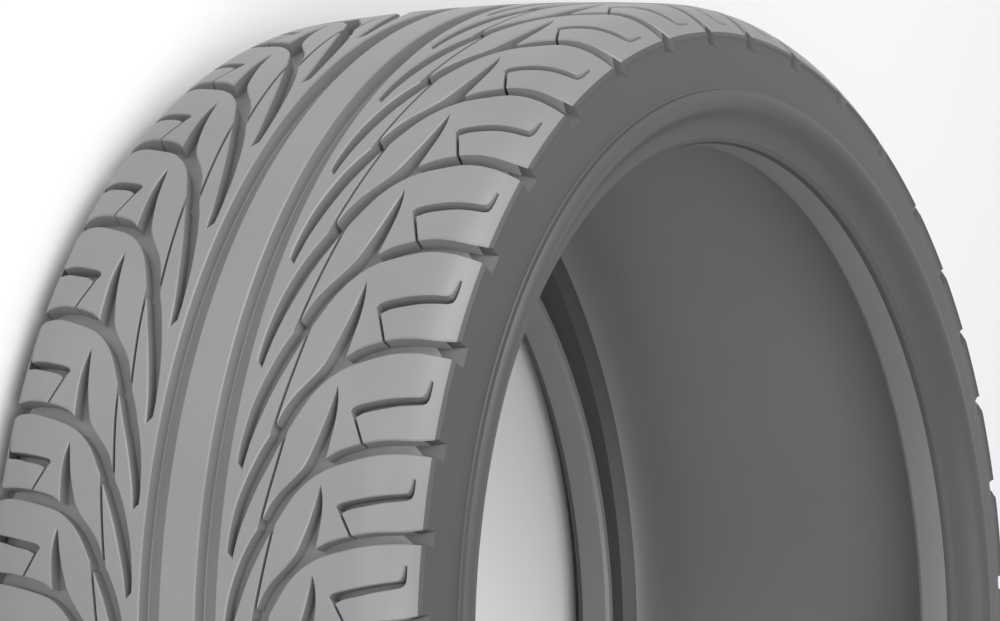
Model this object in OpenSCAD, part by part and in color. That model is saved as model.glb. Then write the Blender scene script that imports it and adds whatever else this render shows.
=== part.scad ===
// Car tyre, lying on its rear sidewall with the turning axis along +Z.
// Origin: on the axis, at the middle plane of the tread. Millimetres.
// Angles run from +X toward +Y.

/* [Tyre size] */
// outer radius at the middle of the tread
tyre_r = 333.5; // [320:0.5:345]
// half of the tread width, at the shoulder line
tread_half_w = 122.6; // [118:0.1:126]
// half of the widest section
section_half_w = 134; // [130:0.5:138]
// radius of the bead seats that grip the rim
seat_r = 256.4; // [254:0.1:258]
// half of the distance over the two beads
bead_half_w = 121; // [117:0.5:124]

/* [Tread] */
// radius of the crown across the tread
crown_r = 1100; // [900:10:1500]
// half width where the crown ends and the shoulder begins
crown_half_w = 94; // [88:0.5:97]
// radius of the rounded shoulder
shoulder_r = 40; // [36:0.5:46]
// depth of the grooves at the crown
groove_depth = 8; // [6:0.1:9]
// inner edge of the two main grooves, from the middle plane
main_groove_in = 10.3; // [8:0.1:13]
// outer edge of the two main grooves, from the middle plane
main_groove_out = 21.8; // [17:0.1:25]
// how far each wall of a main groove leans in at its floor
main_groove_lean = 0.8; // [0.2:0.1:2]

/* [Wear bars] */
// number of places around the tread with wear bars
bar_places = 8; // [4:1:12]
// angle that one wear bar covers
bar_angle = 2.2; // [1:0.1:4]
// height of the wear bars over the groove floor
bar_h = 1.6; // [1:0.1:2.5]
// angle of the first wear bar in the outer main groove
bar_start = 45.8; // [0:0.1:360]
// how far the inner groove's wear bars lead the outer groove's
bar_offset = 5; // [0:0.1:10]

/* [Hidden] */
$fn = 96;

// the half section, listed outward from the middle plane as [radius, distance]
function crown(w) = tyre_r - w * w / (2 * crown_r);
shoulder_tilt = asin(crown_half_w / crown_r);
shoulder_w = crown_half_w - shoulder_r * sin(shoulder_tilt);
shoulder_c = crown(crown_half_w) - shoulder_r * cos(shoulder_tilt);
shoulder_turn = asin((tread_half_w - shoulder_w) / shoulder_r) - shoulder_tilt;
shoulder_steps = 4;
function shoulder(i) = [
  shoulder_c + shoulder_r * cos(shoulder_tilt + shoulder_turn * i / shoulder_steps),
  shoulder_w + shoulder_r * sin(shoulder_tilt + shoulder_turn * i / shoulder_steps)
];

floor_r = tyre_r - groove_depth;
ring_bottom_r = tyre_r - 14;
notch_r = tyre_r - 11.5;
// where the groove floors run out into the sidewall
runout = [tyre_r - 28.5, tread_half_w + 2];

// the tread rubber between its top and a bottom hidden in the casing
ring_half = concat(
  [
    [crown(main_groove_in), main_groove_in],
    [notch_r, main_groove_in + main_groove_lean],
    [notch_r, main_groove_out - main_groove_lean],
    [crown(main_groove_out), main_groove_out]
  ],
  [[crown(60), 60]],
  [for (i = [0 : shoulder_steps]) shoulder(i)],
  [
    runout,
    [tyre_r - 24.5, 113],
    [tyre_r - 17.5, 96],
    [ring_bottom_r, 60]
  ]
);
floor_half = [
  [floor_r, 30],
  [floor_r - 1.4, 60],
  [floor_r - 4, 94],
  [floor_r - 7, 105],
  [floor_r - 12, 114.5],
  [floor_r - 16.5, 121],
  runout
];
side_half = [
  [tyre_r - 36.5, section_half_w - 8],
  [tyre_r - 49.2, section_half_w - 6.6],
  [tyre_r - 50.1, section_half_w - 4.4],
  [tyre_r - 52.5, section_half_w - 2.7],
  [tyre_r - 55.5, section_half_w - 2.1],
  [tyre_r - 58, section_half_w - 2.8],
  [tyre_r - 61, section_half_w - 5.4],
  [tyre_r - 63.5, section_half_w - 8.8],
  [tyre_r - 67, bead_half_w + 1.6],
  [seat_r + 5.6, bead_half_w],
  [seat_r + 3.2, bead_half_w - 0.6],
  [seat_r + 1, bead_half_w - 2.4],
  [seat_r, bead_half_w - 5],
  [seat_r, bead_half_w - 20],
  [seat_r + 1.2, bead_half_w - 22],
  [seat_r + 3.6, bead_half_w - 22.6]
];
inner_half = [
  [seat_r + 8, bead_half_w - 16],
  [tyre_r - 62, bead_half_w - 5],
  [tyre_r - 53, bead_half_w - 0.5],
  [tyre_r - 45, 120.2],
  [tyre_r - 38, 119],
  [tyre_r - 31, 115.8],
  [tyre_r - 25.8, 109.5],
  [tyre_r - 21.8, 100],
  [tyre_r - 19.5, 86],
  [tyre_r - 18, 60],
  [tyre_r - 17.2, 30]
];
casing_half = concat(floor_half, side_half, inner_half);

function mirrored(half) = [for (i = [len(half) - 1 : -1 : 0]) [half[i][0], -half[i][1]]];

module tread() {
  rotate_extrude() polygon(concat(mirrored(ring_half), ring_half));
}

module casing() {
  rotate_extrude() polygon(concat(mirrored(casing_half), casing_half));
}

// low bars across the main groove floors, level with the wear limit
module wear_bars() {
  for (side = [1, -1], i = [0 : bar_places - 1])
    rotate([0, 0, bar_start + (side < 0 ? bar_offset : 0) + i * 360 / bar_places])
      rotate_extrude(angle = bar_angle)
        translate([ring_bottom_r, side > 0 ? main_groove_in - 2 : -main_groove_out - 2])
          square([floor_r + bar_h - ring_bottom_r, main_groove_out - main_groove_in + 4]);
}

module tyre() {
  color("#3a3b3d") union() {
    casing();
    tread();
    wear_bars();
  }
}

tyre();
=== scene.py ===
"""Car tyre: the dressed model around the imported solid, laid out as an add-on."""

import math

import bmesh
import bpy
from mathutils import Matrix, Vector


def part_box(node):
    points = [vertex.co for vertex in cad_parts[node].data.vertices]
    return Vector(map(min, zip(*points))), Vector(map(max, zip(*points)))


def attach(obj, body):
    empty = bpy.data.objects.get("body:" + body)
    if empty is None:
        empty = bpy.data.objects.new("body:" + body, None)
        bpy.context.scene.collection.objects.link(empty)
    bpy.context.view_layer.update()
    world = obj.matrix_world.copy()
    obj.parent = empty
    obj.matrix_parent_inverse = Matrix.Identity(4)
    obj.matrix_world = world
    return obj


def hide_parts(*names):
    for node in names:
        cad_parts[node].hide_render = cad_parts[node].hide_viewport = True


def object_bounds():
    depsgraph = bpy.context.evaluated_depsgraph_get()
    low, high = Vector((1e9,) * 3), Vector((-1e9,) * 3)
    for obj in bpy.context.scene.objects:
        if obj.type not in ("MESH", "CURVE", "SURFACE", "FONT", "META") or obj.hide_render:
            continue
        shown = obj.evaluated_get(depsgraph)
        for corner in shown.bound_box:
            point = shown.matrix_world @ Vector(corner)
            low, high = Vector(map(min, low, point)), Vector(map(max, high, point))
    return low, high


bl_info = {
    "name": "Car tyre",
    "version": (1, 0, 0),
    "blender": (4, 5, 0),
    "location": "View3D > Sidebar > Tyre",
    "description": "Builds a car tyre with its tread, sidewall and studio",
    "category": "Add Mesh",
}

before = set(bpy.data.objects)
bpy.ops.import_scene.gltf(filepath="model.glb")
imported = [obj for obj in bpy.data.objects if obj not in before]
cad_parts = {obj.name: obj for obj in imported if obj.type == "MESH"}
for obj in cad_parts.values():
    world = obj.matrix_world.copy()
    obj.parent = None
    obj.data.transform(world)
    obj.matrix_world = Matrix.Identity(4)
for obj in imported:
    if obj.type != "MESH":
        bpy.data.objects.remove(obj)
CAD_BOX = [list(corner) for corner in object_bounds()]
MM = 0.001
TYRE_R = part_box("tyre")[1].x / MM

# the crown and the rounded shoulder of the tread, in millimetres
CROWN_R = 1100.0
CROWN_HALF_W = 94.0
SHOULDER_R = 40.0
TREAD_HALF_W = 122.6
SECTION_HALF_W = 134.0
BEAD_HALF_W = 121.0
SEAT_R = 256.4
GROOVE_DEPTH = 8.0

# the tread pattern: pitch lengths and the order they come in, 0 long to 2 short
PITCH_SIZES = (58.0, 51.5, 43.0)
PITCH_KINDS = (
    [2, 1, 0, 0, 0, 0, 0, 1, 2, 1, 0, 0, 0, 1, 2, 2, 1, 0, 0, 0]
    + [0, 1, 0, 0, 1, 2, 1, 0, 0, 0, 0, 1, 2, 1, 0, 0, 0, 1, 2]
)
PITCHES = [PITCH_SIZES[k] for k in PITCH_KINDS]
PATTERN_START = 80.4
SIDE_OFFSET = 4.1


def crown(w):
    """Radius of the crown at a distance w from the middle plane."""
    return TYRE_R - w * w / (2 * CROWN_R)


SHOULDER_TILT = math.asin(CROWN_HALF_W / CROWN_R)
SHOULDER_W = CROWN_HALF_W - SHOULDER_R * math.sin(SHOULDER_TILT)
SHOULDER_C = crown(CROWN_HALF_W) - SHOULDER_R * math.cos(SHOULDER_TILT)
SHOULDER_END = math.asin((TREAD_HALF_W - SHOULDER_W) / SHOULDER_R)


def tread_top(w):
    """Radius of the uncut tread, carried on past the shoulder line."""
    w = abs(w)
    if w <= CROWN_HALF_W:
        return crown(w)
    turn = min((w - SHOULDER_W) / SHOULDER_R, math.sin(SHOULDER_END))
    return SHOULDER_C + SHOULDER_R * math.sqrt(1 - turn * turn)


# the groove floor: distance from the middle plane, and drop below the floor at the middle
FLOOR_POINTS = (
    (0, 0), (30, 0), (60, 1.4), (94, 4), (105, 7), (114.5, 12), (121, 16.5), (124.6, 20.5), (128, 25),
)


def tread_floor(w):
    """Radius of the groove floors, which run out into the sidewall."""
    w = abs(w)
    base = TYRE_R - GROOVE_DEPTH
    for (w0, d0), (w1, d1) in zip(FLOOR_POINTS, FLOOR_POINTS[1:]):
        if w <= w1:
            return base - d0 - (d1 - d0) * (w - w0) / (w1 - w0)
    return base - FLOOR_POINTS[-1][1]


def tip_angle(i):
    """Angle of groove tip i in degrees, falling round the tyre."""
    turns, k = divmod(i, len(PITCHES))
    return PATTERN_START - 360 * turns - sum(PITCHES[:k]) * 360 / sum(PITCHES)


def along(i, u):
    """Angle that lies u pitches on from groove tip i, in degrees."""
    k = i + math.floor(u)
    return tip_angle(k) - (u - math.floor(u)) * PITCHES[k % len(PITCHES)] * 360 / sum(PITCHES)


# outlines: (pitches from the groove tip, distance from the middle plane, corner kept sharp)
GROOVE_OUTLINE = (
    (0, 29.9, 1), (0.06, 26.8, 1), (0.2, 26.9, 0), (0.4, 27.9, 0), (0.6, 29.4, 0), (0.8, 31.9, 0),
    (1.0, 35.0, 0), (1.2, 39.2, 0), (1.35, 43.2, 0), (1.5, 46.0, 0), (1.62, 48.6, 0), (1.75, 52.9, 0),
    (1.9, 59.3, 0), (2.04, 64.2, 0), (2.2, 67.2, 0), (2.4, 70.2, 0), (2.6, 72.3, 0), (2.8, 74.0, 1),
    (2.68, 75.6, 0), (2.5, 76.3, 0), (2.3, 75.6, 0), (2.1, 74.6, 1), (2.17, 80, 0), (2.22, 87, 0),
    (2.26, 95, 0), (2.295, 104, 0), (2.32, 113, 0), (2.35, 119, 0), (2.42, 125, 0), (2.5, 128, 1),
    (2.21, 128, 1), (2.2, 118, 0), (2.17, 107, 0), (2.13, 97, 0), (2.07, 86, 0), (2.01, 77, 0),
    (1.93, 70.5, 0), (1.83, 65, 0), (1.7, 60, 0), (1.5, 54.6, 0), (1.3, 49.8, 0), (1.1, 45.5, 0),
    (0.9, 41.4, 0), (0.7, 38.0, 0), (0.5, 35.0, 0), (0.25, 31.8, 0),
)
HOOK_OUTLINE = (
    (2.50, 86.6, 1), (2.57, 83.7, 0), (2.62, 86.5, 0), (2.66, 94, 0), (2.71, 104, 0), (2.75, 112, 0),
    (2.775, 115.6, 0), (2.84, 116.9, 0), (2.95, 117.5, 1), (2.95, 118.3, 1), (2.82, 118.4, 0),
    (2.72, 117.6, 0), (2.68, 114, 0), (2.64, 107, 0), (2.59, 99, 0), (2.55, 91, 0),
)
# straight fine cuts, by their two ends, and the steps that let them follow the tread
HOOK_SIPE = ((2.2, 94.0), (2.56, 85.0))
LINK_SIPE = ((1.33, 43.2), (2.4, 51.4))
FINE_CUT_STEPS = 8


def smoothed(points):
    """Catmull-Rom points between the given ones, with the marked corners kept."""
    out = []
    n = len(points)
    for i, p1 in enumerate(points):
        p0, p2, p3 = points[i - 1], points[(i + 1) % n], points[(i + 2) % n]
        a = p1 if p1[2] else p0
        d = p2 if p2[2] else p3
        out.append((p1[0], p1[1]))
        t = 0.5  # one new point halfway along each stretch
        mid = [
            0.5 * (2 * p1[k] + (p2[k] - a[k]) * t + (2 * a[k] - 5 * p1[k] + 4 * p2[k] - d[k]) * t**2
                   + (3 * p1[k] - a[k] - 3 * p2[k] + d[k]) * t**3)
            for k in (0, 1)
        ]
        out.append(tuple(mid))
    return out


def fine_cut(ends, width):
    """The outline of a straight fine cut."""
    (u0, w0), (u1, w1) = ends
    n = FINE_CUT_STEPS
    half = width / 2
    line = [(u0 + (u1 - u0) * k / n, w0 + (w1 - w0) * k / n) for k in range(n + 1)]
    return [(u, w - half) for u, w in line] + [(u, w + half) for u, w in reversed(line)]


def laid(outline, i, side):
    """An outline of groove i in arc length and distance from the middle plane."""
    shift = SIDE_OFFSET if side < 0 else 0
    points = [(-math.radians(along(i, u) - shift) * TYRE_R, w) for u, w in outline]
    return [(x, side * w) for x, w in points]


def widened(outline, by):
    """The outline moved outward by a small width."""
    n = len(outline)
    area = sum(a[0] * b[1] - b[0] * a[1] for a, b in zip(outline, outline[1:] + outline[:1]))
    sign = 1 if area > 0 else -1
    out = []
    for k, p in enumerate(outline):
        a, b = Vector(outline[k - 1]), Vector(outline[(k + 1) % n])
        p = Vector(p)
        e0, e1 = (p - a).normalized(), (b - p).normalized()
        n0, n1 = Vector((e0.y, -e0.x)) * sign, Vector((e1.y, -e1.x)) * sign
        m = n0 + n1
        if m.length < 0.3:
            m = n0
        m.normalize()
        out.append(tuple(p + m * by / max(0.5, m.dot(n0))))
    return out


# how far the cutters stand over the tread, in millimetres
CUTTER_RISE = 1.0
# chamfer of the fine cuts in millimetres, and the hooks' share of the tread's chamfer
FINE_CHAMFER = 0.25
HOOK_CHAMFER_SHARE = 0.7
# steps round the tyre, and the angle past which an edge is shaded sharp
SPIN_STEPS = 360
SHARP_ANGLE = math.radians(24)
# where the sidewall's rubber begins: depth below the tread and distance from the middle plane
SIDE_DEPTH = 20.5
SIDE_W = 110.0


def add_cutter(bm, outline, chamfer):
    """A closed cutter whose floor follows the groove floor, chamfered at the tread surface."""
    levels = (("floor", outline), ("edge", outline), ("top", widened(outline, chamfer + CUTTER_RISE)))
    first = [bm.verts.new((x, w, 0)) for x, w in outline]
    face = bm.faces.new(first)
    rings = [first]
    for _ in levels[1:]:
        old = face
        is_floor = len(rings) == 1
        new = bmesh.ops.extrude_face_region(bm, geom=[face], use_keep_orig=True)["geom"]
        if not is_floor:
            bmesh.ops.delete(bm, geom=[old], context="FACES_ONLY")
        face = next(f for f in new if isinstance(f, bmesh.types.BMFace))
        verts = [v for v in new if isinstance(v, bmesh.types.BMVert)]
        by_place = {(round(v.co.x, 4), round(v.co.y, 4)): v for v in verts}
        rings.append([by_place[(round(v.co.x, 4), round(v.co.y, 4))] for v in first])
    caps = [f for v in (first[0], rings[-1][0]) for f in v.link_faces if len(f.verts) == len(outline)]
    bmesh.ops.triangulate(bm, faces=caps, quad_method="BEAUTY", ngon_method="BEAUTY")
    for ring, (level, points) in zip(rings, levels):
        for v, (x, w) in zip(ring, points):
            if level == "floor":
                r = tread_floor(w)
            elif level == "edge":
                r = tread_top(w) - chamfer
            else:
                r = tread_top(w) + CUTTER_RISE
            a = -x / TYRE_R
            v.co = (r * math.cos(a) * MM, r * math.sin(a) * MM, w * MM)


def cutter_object(name, outline, chamfer):
    """All the cutters of one kind, round both sides of the tread."""
    bm = bmesh.new()
    for i in range(len(PITCHES)):
        for side in (1, -1):
            add_cutter(bm, laid(outline, i, side), chamfer)
    bmesh.ops.recalc_face_normals(bm, faces=bm.faces[:])
    mesh = bpy.data.meshes.new(name)
    bm.to_mesh(mesh)
    bm.free()
    obj = bpy.data.objects.new(name, mesh)
    bpy.context.collection.objects.link(obj)
    return obj


def section_half():
    """The outside and inside of one half of the tyre, as (radius, distance), from the middle out."""
    top = [(crown(w), w) for w in (30, 38, 46, 54, 62, 70, 78, 86, CROWN_HALF_W)]
    for k in range(1, 9):
        a = SHOULDER_TILT + (SHOULDER_END - SHOULDER_TILT) * k / 8
        top.append((SHOULDER_C + SHOULDER_R * math.cos(a), SHOULDER_W + SHOULDER_R * math.sin(a)))
    grooves = [
        (crown(9.6), 9.6), (crown(10.3) - 0.7, 10.3), (TYRE_R - 7.6, 10.9), (TYRE_R - 8, 11.5),
        (TYRE_R - 8, 20.6), (TYRE_R - 7.6, 21.2), (crown(21.8) - 0.7, 21.8), (crown(22.5), 22.5),
    ]
    s, b = SECTION_HALF_W, BEAD_HALF_W
    side = [
        (TYRE_R - 21.3, 123.5), (TYRE_R - 22, 124.0), (TYRE_R - 22.9, 123.5), (TYRE_R - 24, 123.4),
        (TYRE_R - 30, 124.6), (TYRE_R - 38, 125.9), (TYRE_R - 45, 126.8), (TYRE_R - 48.6, 127.2),
        (TYRE_R - 49.4, s - 6.2), (TYRE_R - 49.8, s - 4.6), (TYRE_R - 51, s - 3.4),
        (TYRE_R - 52.6, s - 2.6), (TYRE_R - 54, s - 2.2), (TYRE_R - 55.5, s - 2.1), (TYRE_R - 57, s - 2.4),
        (TYRE_R - 58.6, s - 3.1), (TYRE_R - 61, s - 5.4), (TYRE_R - 63.5, s - 8.8), (TYRE_R - 67, b + 1.6),
        (SEAT_R + 5.6, b), (SEAT_R + 3.2, b - 0.6), (SEAT_R + 1, b - 2.4), (SEAT_R, b - 5),
        (SEAT_R, b - 20), (SEAT_R + 1.2, b - 22), (SEAT_R + 3.6, b - 22.6),
    ]
    inside = [
        (SEAT_R + 8, b - 16), (TYRE_R - 62, b - 5), (TYRE_R - 53, b - 0.5), (TYRE_R - 45, 120.2),
        (TYRE_R - 38, 119), (TYRE_R - 31, 115.8), (TYRE_R - 25.8, 109.5), (TYRE_R - 21.8, 100),
        (TYRE_R - 19.5, 86), (TYRE_R - 18, 60), (TYRE_R - 17.2, 30),
    ]
    return grooves + top + side + inside


def revolved(name, points):
    """A mesh object spun once round the axis from a closed run of (radius, distance) points."""
    bm = bmesh.new()
    verts = [bm.verts.new((r * MM, 0, w * MM)) for r, w in points]
    edges = [bm.edges.new(pair) for pair in zip(verts, verts[1:])]
    edges.append(bm.edges.new((verts[-1], verts[0])))
    bmesh.ops.spin(
        bm, geom=verts + edges, cent=(0, 0, 0), axis=(0, 0, 1), dvec=(0, 0, 0), angle=2 * math.pi,
        steps=SPIN_STEPS, use_merge=True, use_normal_flip=False, use_duplicate=False,
    )
    bmesh.ops.recalc_face_normals(bm, faces=bm.faces[:])
    mesh = bpy.data.meshes.new(name)
    bm.to_mesh(mesh)
    bm.free()
    obj = bpy.data.objects.new(name, mesh)
    bpy.context.collection.objects.link(obj)
    return obj


def finish_piece(obj, material):
    """Shades a piece, gives it its finish and sets it on the tyre's body."""
    obj.data.shade_smooth()
    obj.data.set_sharp_from_angle(angle=SHARP_ANGLE)
    obj.data.materials.clear()
    obj.data.materials.append(material)
    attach(obj, "root")


def rubber(name, colour, roughness, grain, grain_scale):
    """Moulded rubber: a colour and roughness that drift a little, and a fine grain."""
    mat = bpy.data.materials.new(name)
    mat.use_nodes = True
    nodes, links = mat.node_tree.nodes, mat.node_tree.links
    bsdf = nodes["Principled BSDF"]
    bsdf.inputs["Specular IOR Level"].default_value = 0.5
    coords = nodes.new("ShaderNodeTexCoord")
    group = nodes.new("ShaderNodeGroup")
    group.node_tree = bloom_group()
    group.inputs["Base"].default_value = (*colour, 1)
    group.inputs["Roughness"].default_value = roughness
    group.inputs["Grain Scale"].default_value = grain_scale
    links.new(coords.outputs["Object"], group.inputs["Position"])
    links.new(group.outputs["Colour"], bsdf.inputs["Base Color"])
    links.new(group.outputs["Roughness"], bsdf.inputs["Roughness"])
    bump = nodes.new("ShaderNodeBump")
    bump.inputs["Strength"].default_value = grain
    bump.inputs["Distance"].default_value = 0.0004
    links.new(group.outputs["Height"], bump.inputs["Height"])
    links.new(bump.outputs["Normal"], bsdf.inputs["Normal"])
    return mat


def bloom_group():
    """The shared effect: colour, roughness and height that drift over the rubber."""
    if "rubber bloom" in bpy.data.node_groups:
        return bpy.data.node_groups["rubber bloom"]
    tree = bpy.data.node_groups.new("rubber bloom", "ShaderNodeTree")
    face = tree.interface
    face.new_socket("Position", in_out="INPUT", socket_type="NodeSocketVector")
    face.new_socket("Base", in_out="INPUT", socket_type="NodeSocketColor")
    face.new_socket("Roughness", in_out="INPUT", socket_type="NodeSocketFloat")
    face.new_socket("Grain Scale", in_out="INPUT", socket_type="NodeSocketFloat")
    face.new_socket("Colour", in_out="OUTPUT", socket_type="NodeSocketColor")
    face.new_socket("Roughness", in_out="OUTPUT", socket_type="NodeSocketFloat")
    face.new_socket("Height", in_out="OUTPUT", socket_type="NodeSocketFloat")
    n, link = tree.nodes, tree.links.new
    inp, out = n.new("NodeGroupInput"), n.new("NodeGroupOutput")

    def noise(scale, detail):
        node = n.new("ShaderNodeTexNoise")
        node.inputs["Scale"].default_value = scale
        node.inputs["Detail"].default_value = detail
        link(inp.outputs["Position"], node.inputs["Vector"])
        return node

    broad, fine = noise(9, 3), noise(600, 2)
    link(inp.outputs["Grain Scale"], fine.inputs["Scale"])
    spread = n.new("ShaderNodeMapRange")
    spread.inputs["To Min"].default_value = 0.86
    spread.inputs["To Max"].default_value = 1.14
    link(broad.outputs["Fac"], spread.inputs["Value"])
    tint = n.new("ShaderNodeVectorMath")
    tint.operation = "SCALE"
    link(inp.outputs["Base"], tint.inputs[0])
    link(spread.outputs["Result"], tint.inputs["Scale"])
    link(tint.outputs["Vector"], out.inputs["Colour"])
    rough = n.new("ShaderNodeMath")
    rough.operation = "MULTIPLY"
    link(inp.outputs["Roughness"], rough.inputs[0])
    link(spread.outputs["Result"], rough.inputs[1])
    link(rough.outputs["Value"], out.inputs["Roughness"])
    link(fine.outputs["Fac"], out.inputs["Height"])
    return tree


class TyreSizes(bpy.types.PropertyGroup):
    """Sizes and colours a user would change."""

    rubber_colour: bpy.props.FloatVectorProperty(
        name="Rubber", description="Colour of the tread rubber", subtype="COLOR",
        size=3, min=0, max=1, default=(0.2, 0.203, 0.208))
    side_colour: bpy.props.FloatVectorProperty(
        name="Sidewall", description="Colour of the sidewall rubber", subtype="COLOR",
        size=3, min=0, max=1, default=(0.055, 0.056, 0.058))
    chamfer: bpy.props.FloatProperty(
        name="Edge", description="Chamfer on the tread block edges in millimetres",
        min=0.2, max=1.5, default=0.7)
    sipe_width: bpy.props.FloatProperty(
        name="Fine cut", description="Width of the fine cuts in millimetres",
        min=1, max=3, default=1.6)


class TYRE_OT_body(bpy.types.Operator):
    """Build the tyre with its cut tread"""

    bl_idname = "tyre.body"
    bl_label = "Tyre body"

    def execute(self, context):
        sizes = context.scene.tyre_sizes
        half = section_half()
        points = [(r, -w) for r, w in reversed(half)] + half
        obj = revolved("tyre_body", points)
        cutters = [
            cutter_object("cut_grooves", smoothed(GROOVE_OUTLINE), sizes.chamfer),
            cutter_object("cut_hooks", smoothed(HOOK_OUTLINE), sizes.chamfer * HOOK_CHAMFER_SHARE),
            cutter_object("cut_links", fine_cut(LINK_SIPE, sizes.sipe_width), FINE_CHAMFER),
            cutter_object("cut_hook_sipes", fine_cut(HOOK_SIPE, sizes.sipe_width), FINE_CHAMFER),
        ]
        for cutter in cutters:
            mod = obj.modifiers.new(cutter.name, "BOOLEAN")
            mod.operation = "DIFFERENCE"
            mod.solver = "MANIFOLD"
            mod.object = cutter
        graph = context.evaluated_depsgraph_get()
        mesh = bpy.data.meshes.new_from_object(obj.evaluated_get(graph))
        obj.modifiers.clear()
        obj.data = mesh
        obj.data.name = "tyre_body"
        for cutter in cutters:
            bpy.data.objects.remove(cutter)
        tread = rubber("tread rubber", sizes.rubber_colour, roughness=0.42, grain=0.12, grain_scale=900)
        finish_piece(obj, tread)
        side = rubber("sidewall rubber", sizes.side_colour, roughness=0.5, grain=0.1, grain_scale=900)
        obj.data.materials.append(side)
        edge = (TYRE_R - SIDE_DEPTH) * MM
        for poly in obj.data.polygons:
            x, y, z = poly.center
            if math.hypot(x, y) < edge and abs(z) > SIDE_W * MM:
                poly.material_index = 1
        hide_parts("tyre")
        return {"FINISHED"}


class TYRE_OT_studio(bpy.types.Operator):
    """Build the floor, the lamps and the camera"""

    bl_idname = "tyre.studio"
    bl_label = "Studio"

    def execute(self, context):
        scene = context.scene
        scene.view_settings.view_transform = "Standard"
        bm = bmesh.new()
        bmesh.ops.create_grid(bm, x_segments=1, y_segments=1, size=FLOOR_HALF)
        bmesh.ops.translate(bm, verts=bm.verts[:], vec=(0, 0, CAD_BOX[0][2]))
        mesh = bpy.data.meshes.new("floor")
        bm.to_mesh(mesh)
        bm.free()
        floor = bpy.data.objects.new("floor", mesh)
        context.collection.objects.link(floor)
        floor.data.materials.append(studio_white("studio floor"))
        add_world(scene)
        add_lamp("key", (-0.6, 2.6, 2.6), size=1.6, power=60)
        add_lamp("top", (1.8, 0.6, 1.8), size=1.4, power=34)
        add_lamp("fill", (0.9, 3.2, 0.2), size=1.8, power=24)
        add_camera(scene)
        return {"FINISHED"}


def studio_white(name):
    """The floor's pale matt finish."""
    mat = bpy.data.materials.new(name)
    mat.use_nodes = True
    bsdf = mat.node_tree.nodes["Principled BSDF"]
    bsdf.inputs["Base Color"].default_value = (0.9, 0.9, 0.9, 1)
    bsdf.inputs["Roughness"].default_value = 0.9
    return mat


def add_world(scene):
    """A soft plain world, white to the camera and to reflections."""
    world = bpy.data.worlds.new("studio")
    scene.world = world
    world.use_nodes = True
    nodes, links = world.node_tree.nodes, world.node_tree.links
    back = nodes["Background"]
    back.inputs["Color"].default_value = (1, 1, 1, 1)
    path = nodes.new("ShaderNodeLightPath")
    seen = nodes.new("ShaderNodeMath")
    seen.operation = "MAXIMUM"
    links.new(path.outputs["Is Camera Ray"], seen.inputs[0])
    links.new(path.outputs["Is Glossy Ray"], seen.inputs[1])
    both = nodes.new("ShaderNodeMath")
    both.operation = "MAXIMUM"
    links.new(seen.outputs["Value"], both.inputs[0])
    links.new(path.outputs["Is Transmission Ray"], both.inputs[1])
    level = nodes.new("ShaderNodeMapRange")
    level.inputs["To Min"].default_value = 0.55
    level.inputs["To Max"].default_value = 1.0
    links.new(both.outputs["Value"], level.inputs["Value"])
    links.new(level.outputs["Result"], back.inputs["Strength"])


def add_lamp(name, place, size, power):
    """A soft square lamp turned to the middle of the tyre."""
    data = bpy.data.lights.new(name, "AREA")
    data.size, data.energy = size, power
    lamp = bpy.data.objects.new(name, data)
    lamp.location = place
    lamp.rotation_euler = (-Vector(place)).to_track_quat("-Z", "Y").to_euler()
    bpy.context.collection.objects.link(lamp)


# half the floor's side, in metres
FLOOR_HALF = 8

# the photograph's camera, in the tyre's own frame, in metres, with the lens in millimetres
CAMERA_PLACE = (0.1377, 2.6156, 1.5389)
CAMERA_FORWARD = (0.0118, -0.8597, -0.5107)
CAMERA_UP = (0.9997, 0.0, 0.0231)
CAMERA_LENS = 208.25
SENSOR_WIDTH = 36.0


def add_camera(scene):
    """The camera at the photograph's angle."""
    data = bpy.data.cameras.new("camera")
    data.lens, data.sensor_width = CAMERA_LENS, SENSOR_WIDTH
    forward = Vector(CAMERA_FORWARD).normalized()
    right = forward.cross(Vector(CAMERA_UP)).normalized()
    up = right.cross(forward)
    turn = Matrix((right, up, -forward)).transposed().to_4x4()
    camera = bpy.data.objects.new("camera", data)
    camera.matrix_world = Matrix.Translation(CAMERA_PLACE) @ turn
    scene.collection.objects.link(camera)
    scene.camera = camera


class TYRE_PT_panel(bpy.types.Panel):
    """Lists the tyre's pieces"""

    bl_label = "Car tyre"
    bl_idname = "TYRE_PT_panel"
    bl_space_type = "VIEW_3D"
    bl_region_type = "UI"
    bl_category = "Tyre"

    def draw(self, context):
        for name in TyreSizes.__annotations__:
            self.layout.prop(context.scene.tyre_sizes, name)
        for operator in OPERATORS:
            self.layout.operator(operator.bl_idname)


OPERATORS = (TYRE_OT_body, TYRE_OT_studio)
CLASSES = (TyreSizes, *OPERATORS, TYRE_PT_panel)


def register():
    for cls in CLASSES:
        bpy.utils.register_class(cls)
    bpy.types.Scene.tyre_sizes = bpy.props.PointerProperty(type=TyreSizes)


def unregister():
    del bpy.types.Scene.tyre_sizes
    for cls in reversed(CLASSES):
        bpy.utils.unregister_class(cls)


def main():
    register()
    bpy.ops.tyre.body()
    bpy.ops.tyre.studio()


if __name__ == "__main__":
    main()
